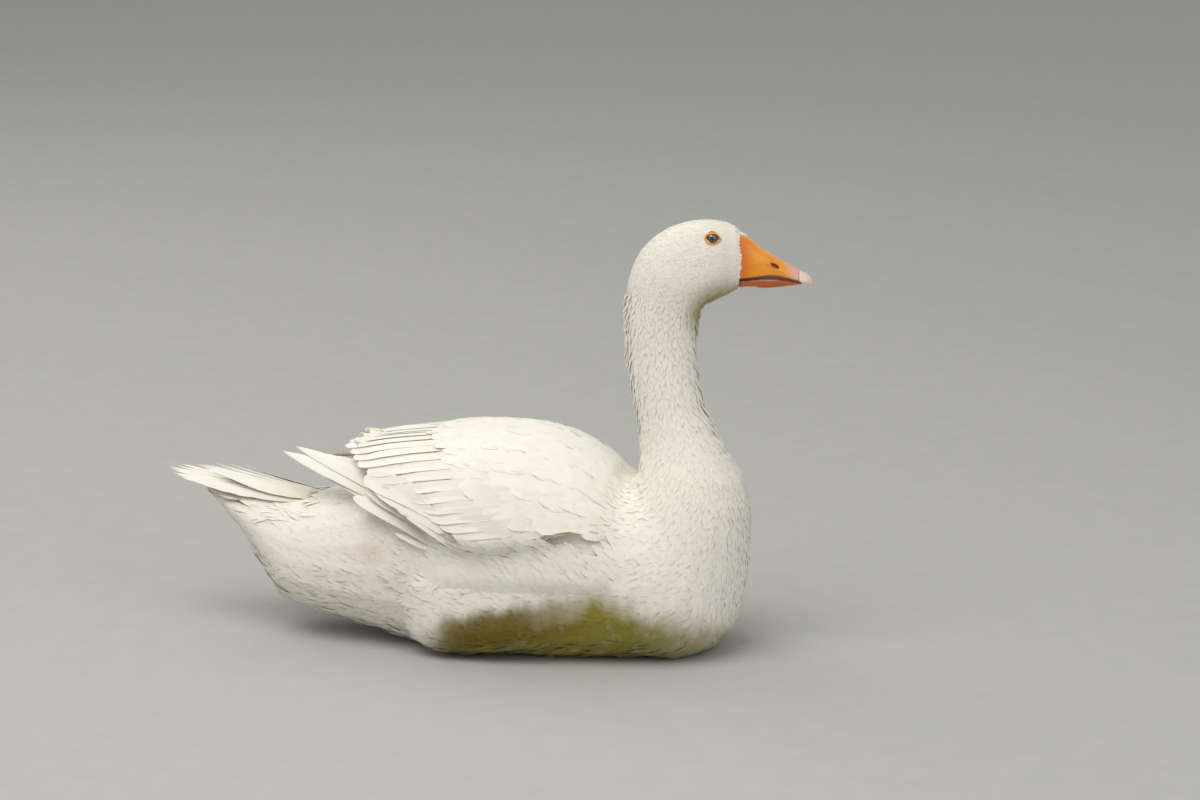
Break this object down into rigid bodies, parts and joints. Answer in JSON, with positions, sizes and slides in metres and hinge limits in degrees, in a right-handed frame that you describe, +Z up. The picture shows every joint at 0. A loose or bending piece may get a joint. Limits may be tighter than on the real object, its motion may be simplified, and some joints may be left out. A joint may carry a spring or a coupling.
{
  "type": "domestic goose",
  "caption": "White domestic goose at rest on its belly, as a life-size still museum model, wings folded, neck upright.",
  "frame": {"origin": "on the ground under the middle of the bird, on the flat of the belly between the feet", "axes": "+X forward to the bill, +Y to the goose's left, +Z up"},
  "size_m": [0.6779, 0.252, 0.4484],
  "materials": {
    "plumage": "soft matt feathers",
    "bill": "satin skin",
    "nail": "satin horn",
    "eye": "wet gloss",
    "foot": "matt skin"
  },
  "bodies": {
    "root": {"trunk": "plumage", "neck": "plumage", "head": "plumage", "tail": "plumage", "wing_right": "plumage", "wing_left": "plumage", "primaries_right": "plumage", "primaries_left": "plumage", "thigh_right": "plumage", "thigh_left": "plumage", "bill_upper": "bill", "bill_lower": "bill", "bill_nail": "nail", "eye_right": "eye", "eye_left": "eye", "foot_right": "foot", "foot_left": "foot"}
  },
  "joints": []
}
